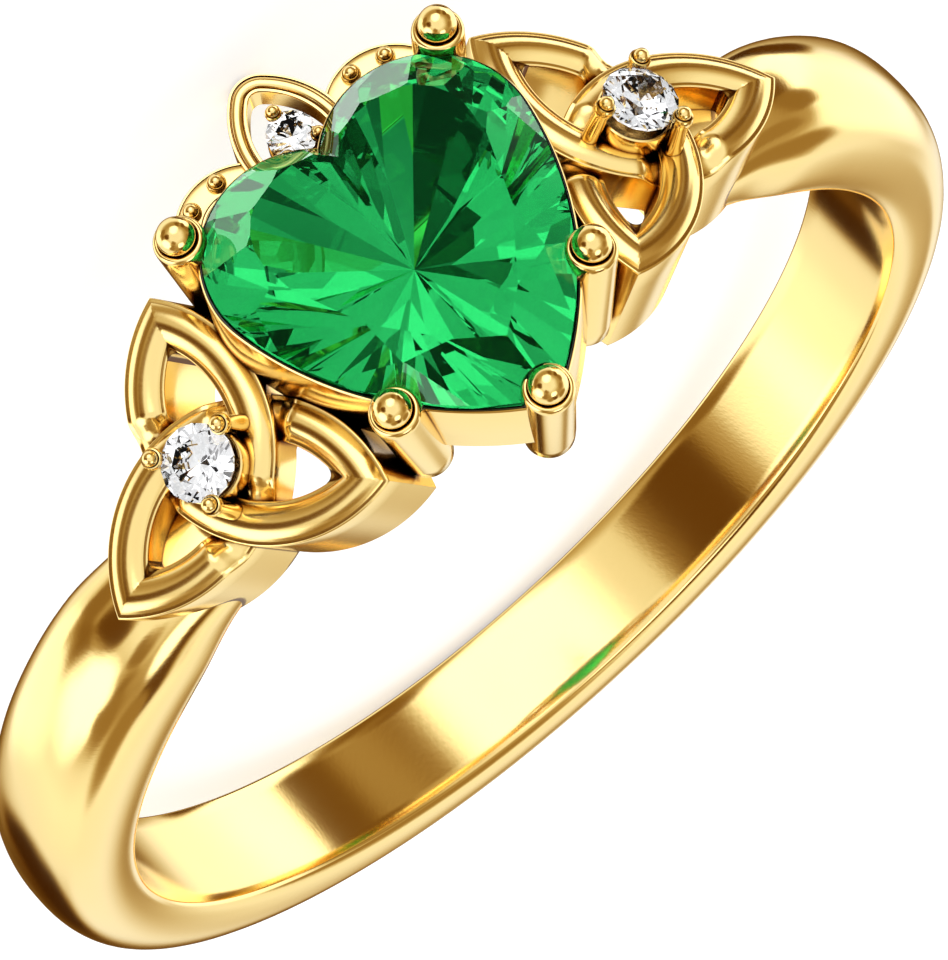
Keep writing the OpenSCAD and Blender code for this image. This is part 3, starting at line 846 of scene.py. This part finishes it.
# %% Reach of the outline in a direction
cleft_y = lobe_c.y + math.sqrt(lobe_r ** 2 - lobe_c.x ** 2)
heart_crown = 0.68
heart_depth = 2.5
culet_y = 0.42
# A facet that faces further round than this leans on the cleft
cleft_turn = 130


def heart_reach(turn):
    """Distance from the culet's axis to the outline's tangent, for a facet facing that way."""
    e = Vector((math.cos(math.radians(turn)), math.sin(math.radians(turn))))
    edge = lobe_c.dot(e) + lobe_r if turn > blend_turn else side_c.dot(e) + side_r
    return max(edge, cleft_y * e.y) if turn > cleft_turn else edge


# %% Block in the outline of half the heart
half_line = [(x, y, -heart_depth) for x, y, _ in heart_line(0, 0, 48, 48) if x > -1e-6]
gem = closed_line("heart_cut", half_line)
bpy.ops.object.mode_set(mode="EDIT")
bpy.ops.mesh.select_all(action="SELECT")
bpy.ops.mesh.edge_face_add()
bpy.ops.mesh.extrude_region_move(
    TRANSFORM_OT_translate={"value": (0, 0, heart_depth + heart_crown)})


def grind(turn, slope, out, level, upper):
    """Cuts away what lies outside one flat facet through the point (out, level)."""
    a, s = math.radians(turn), math.radians(slope)
    rise = math.cos(s) if upper else -math.cos(s)
    bpy.ops.mesh.select_all(action="SELECT")
    bpy.ops.mesh.bisect(plane_co=(out * math.cos(a), out * math.sin(a), level),
                        plane_no=(math.sin(s) * math.cos(a), math.sin(s) * math.sin(a), rise),
                        clear_outer=True, use_fill=True, threshold=0.00001)


# %% Grind the facets, above the girdle and below it
# Direction and slope above the girdle; steeper along the lobes' tops
MAINS = [(-52, 35), (-22, 35), (10, 35), (42, 37), (74, 40), (106, 50), (138, 60)]
STARS = [(-37, 35), (-6, 35), (26, 36), (58, 39), (90, 44), (122, 55)]
SHORTS = [(-60, 35), (-44, 35), (-30, 35), (-14, 35), (2, 35), (18, 35), (34, 37), (50, 37),
          (66, 40), (82, 40), (98, 50), (114, 50), (130, 60), (146, 60)]
shorts_steeper = 7
# A star is a shallow facet that takes the table's edge off between two mains
star_slope = 22
star_out = 0.34
star_drop = 0.14
# Below the girdle the halves are barely steeper than the mains, so they run far down towards the
# culet, and a ring of steeper facets lies under the girdle between the mains
halves_steeper = 0.5
rim_steeper = 8
rim_inset = 0.05


def slope_below(turn):
    """Slope of a plane from the girdle to the culet."""
    return math.degrees(math.atan((heart_depth - girdle)
                                  / (heart_reach(turn) - culet_y * math.sin(math.radians(turn)))))


for turn, slope in MAINS:
    grind(turn, slope, heart_reach(turn), girdle, True)
    grind(turn, slope_below(turn), heart_reach(turn), -girdle, False)
for turn, slope in STARS:
    inset = (heart_crown - girdle) / math.tan(math.radians(slope))
    grind(turn, star_slope, heart_reach(turn) - inset + star_out, heart_crown - star_drop, True)
    grind(turn, slope_below(turn) + rim_steeper, heart_reach(turn) - rim_inset, -girdle, False)
for turn, slope in SHORTS:
    grind(turn, slope + shorts_steeper, heart_reach(turn), girdle, True)
    grind(turn, slope_below(turn) + halves_steeper, heart_reach(turn), -girdle, False)

# %% Open the middle, mirror, and lay the stone in its basket
bpy.ops.object.mode_set(mode="OBJECT")
look_at = bmesh.new()
look_at.from_mesh(gem.data)
middle = [face for face in look_at.faces if all(abs(v.co.x) < 1e-4 for v in face.verts)]
bmesh.ops.delete(look_at, geom=middle, context="FACES_ONLY")
look_at.to_mesh(gem.data)
look_at.free()
halves = gem.modifiers.new("other_half", "MIRROR")
halves.merge_threshold = 0.0005
bpy.ops.object.modifier_apply(modifier=halves.name)
gem.data.transform(Matrix.Translation((0, 0, heart_z)))
finish_piece(gem, green_stone, "heart_stone", angle=1)

# %% [markdown]
# ## Five prongs
# Each prong is a round post with a ball on its end, pressed over the heart's edge. All five are the
# same turned shape, stood on the feet that carry them.

# %% The prongs
ball_r = 0.32
ball_z = 11.74
POSTS = [((2.38, 2.62, 9.1), (2.70, 2.85, ball_z)), ((-2.38, 2.62, 9.1), (-2.70, 2.85, ball_z)),
         ((1.62, -1.71, 9.1), (2.05, -1.65, ball_z)), ((-1.62, -1.71, 9.1), (-2.05, -1.65, ball_z)),
         ((0, -2.74, 9.1), (0, -2.98, ball_z))]
for number, (foot, top) in enumerate(POSTS, 1):
    length = (Vector(top) - Vector(foot)).length
    post = turned_piece(f"prong_{number}", [
        (0.28, 0.0), (0.38, 0.04), (0.42, 0.12), (0.43, 0.4), (0.43, length - 0.25),
        (0.428, length - 0.20), (0.42, length - 0.16), (0.405, length - 0.13),
        (0.385, length - 0.11), (0.362, length - 0.10), (0.34, length - 0.105),
        (0.322, length - 0.12), (0.31, length - 0.14)] + ball_rows(ball_r, length, 0.302), sides=64)
    post.data.transform(between(foot, top))
    finish_metal(post, angle=60)

# %% [markdown]
# ## Crown
# The crown is a pointed arch between two side loops. They are ribbons, almost flat on top, with a
# thin groove inside each edge. Two beads sit on each loop, and a little round stone in front of the
# arch. Each ribbon's section follows its own line.

# %% A ribbon that follows a line in the crown's plane
crown_z = 10.5
crown_depth = 0.5
# Across from 1 outside to -1 inside, and height. A height of -1 is the ribbon's underside.
ARCH_TOP = [(1.0, -1.0), (1.0, -0.04), (0.98, -0.015), (0.94, 0.0), (0.74, 0.0), (0.68, -0.035),
            (0.62, -0.035), (0.57, 0.0), (0.42, 0.025), (0.22, 0.037), (0.02, 0.04),
            (-0.18, 0.037), (-0.38, 0.025), (-0.52, 0.0), (-0.57, -0.035), (-0.63, -0.035),
            (-0.68, 0.0), (-0.92, 0.0), (-0.98, -0.015), (-1.0, -0.04), (-1.0, -1.0)]
LOOP_TOP = [(1.0, -1.0), (1.0, -0.04), (0.98, -0.015), (0.94, 0.0), (0.84, 0.0), (0.82, -0.03),
            (0.78, -0.03), (0.74, 0.0), (0.55, 0.010), (0.28, 0.015), (0.0, 0.017),
            (-0.28, 0.015), (-0.55, 0.010), (-0.74, 0.0), (-0.78, -0.03), (-0.82, -0.03),
            (-0.84, 0.0), (-0.94, 0.0), (-0.98, -0.015), (-1.0, -0.04), (-1.0, -1.0)]


def ribbon(name, line, half, depth, level, top):
    """line is a list of (x, y), and top is a table like ARCH_TOP."""
    section = [(u * half, -depth if z == -1.0 else z) for u, z in top]
    loops = []
    for k, (x, y) in enumerate(line):
        x0, y0 = line[max(k - 1, 0)]
        x1, y1 = line[min(k + 1, len(line) - 1)]
        size = math.hypot(x1 - x0, y1 - y0)
        nx, ny = (y1 - y0) / size, -(x1 - x0) / size
        loops.append([(x + u * nx, y + u * ny, level + z) for u, z in section])
    piece = lofted(name, loops)
    hold(piece)
    bpy.ops.object.mode_set(mode="EDIT")
    cap_open_ends()
    bpy.ops.object.mode_set(mode="OBJECT")
    return piece


# %% Arch, side loops and beads
arch_w = 0.33
arch_half = 0.94
arch_foot = 3.3
crown_top = 4.757
foot_x = arch_half - arch_w / 2
top_arc_r = 0.35
top_arc_y = crown_top - arch_w / 2 - top_arc_r
arch_rise = top_arc_y - arch_foot
side_arc_r = (foot_x ** 2 + arch_rise ** 2 - top_arc_r ** 2) / (2 * (foot_x - top_arc_r))
arch_turn = math.degrees(math.atan2(arch_rise, side_arc_r - foot_x))


def arc_points(centre, radius, first, last, steps):
    turns = [math.radians(first + (last - first) * k / steps) for k in range(steps + 1)]
    return [(centre[0] + radius * math.cos(a), centre[1] + radius * math.sin(a)) for a in turns]


side_line = arc_points((foot_x - side_arc_r, arch_foot), side_arc_r, -15, arch_turn, 24)[:-1]
arch_line = (side_line + arc_points((0, top_arc_y), top_arc_r, arch_turn, 180 - arch_turn, 18)
             + [(-x, y) for x, y in reversed(side_line)])
crown_parts = [ribbon("crown_arch", arch_line, arch_w / 2, crown_depth, crown_z, ARCH_TOP)]
loop_c = (1.55, 2.75)
loop_r = 0.9
loop_half = 0.25
loop_drop = 0.1
bead_sunk = 0.03
for sign in (1, -1):
    line = [(sign * x, y) for x, y in arc_points(loop_c, loop_r, 140, 16, 32)]
    crown_parts.append(ribbon(f"crown_loop_{sign}", line, loop_half,
                              crown_depth - loop_drop, crown_z - loop_drop, LOOP_TOP))
    for bead_angle in (99, 58):
        bead = turned_piece("bead", [
            (0.08, -0.3), (0.16, -0.28), (0.165, 0.0), (0.16, 0.03), (0.145, 0.045), (0.13, 0.04),
            (0.12, 0.025)] + ball_rows(0.125, 0.05, 0.115), sides=32)
        a = math.radians(bead_angle)
        bead.data.transform(Matrix.Translation((sign * (loop_c[0] + loop_r * math.cos(a)),
                                                loop_c[1] + loop_r * math.sin(a),
                                                crown_z - bead_sunk)))
        crown_parts.append(bead)
finish_piece(joined("crown", crown_parts), crown_gold, "ring_body", angle=38)

# %% Cup and claws of the crown's stone
crown_stone = Vector((0, 3.42, 10.6))
crown_parts = []
seat = turned_piece("crown_cup", [(0.36, 9.7), (0.41, 9.75), (0.42, 10.25), (0.41, 10.29),
                                  (0.39, 10.30), (0.34, 10.28), (0.28, 10.2), (0.26, 9.8),
                                  (0.03, 9.78)], sides=48)
seat.data.transform(Matrix.Translation((0, crown_stone.y, 0)))
crown_parts.append(seat)
small_claw_top = Vector((0.45, 0, crown_stone.z + 0.12))
small_claw_foot = Vector((0.38, 0, 9.9))
small_length = (small_claw_top - small_claw_foot).length
for k, swing in enumerate((-45, 90, 225)):
    small = turned_piece(f"small_claw_{k}", [
        (0.07, 0), (0.10, 0.04), (0.10, 0.3), (0.10, small_length - 0.16),
        (0.13, small_length - 0.11), (0.14, small_length - 0.05), (0.135, small_length - 0.01),
        (0.12, small_length + 0.005), (0.10, small_length - 0.005)]
        + ball_rows(0.105, small_length + 0.035, 0.095), sides=32)
    small.data.transform(Matrix.Translation((0, crown_stone.y, 0))
                         @ Matrix.Rotation(math.radians(swing), 4, "Z")
                         @ between(small_claw_foot, small_claw_top))
    crown_parts.append(small)
bar = turned_piece("crown_bar", [(0.10, 0), (0.12, 0.03), (0.12, 0.57), (0.10, 0.60)], sides=20)
bar.data.transform(between((0, crown_stone.y - 0.35, 10.05), (0, cleft_y - 0.1, 10.05)))
crown_parts.append(bar)
finish_metal(joined("crown_cup", crown_parts))
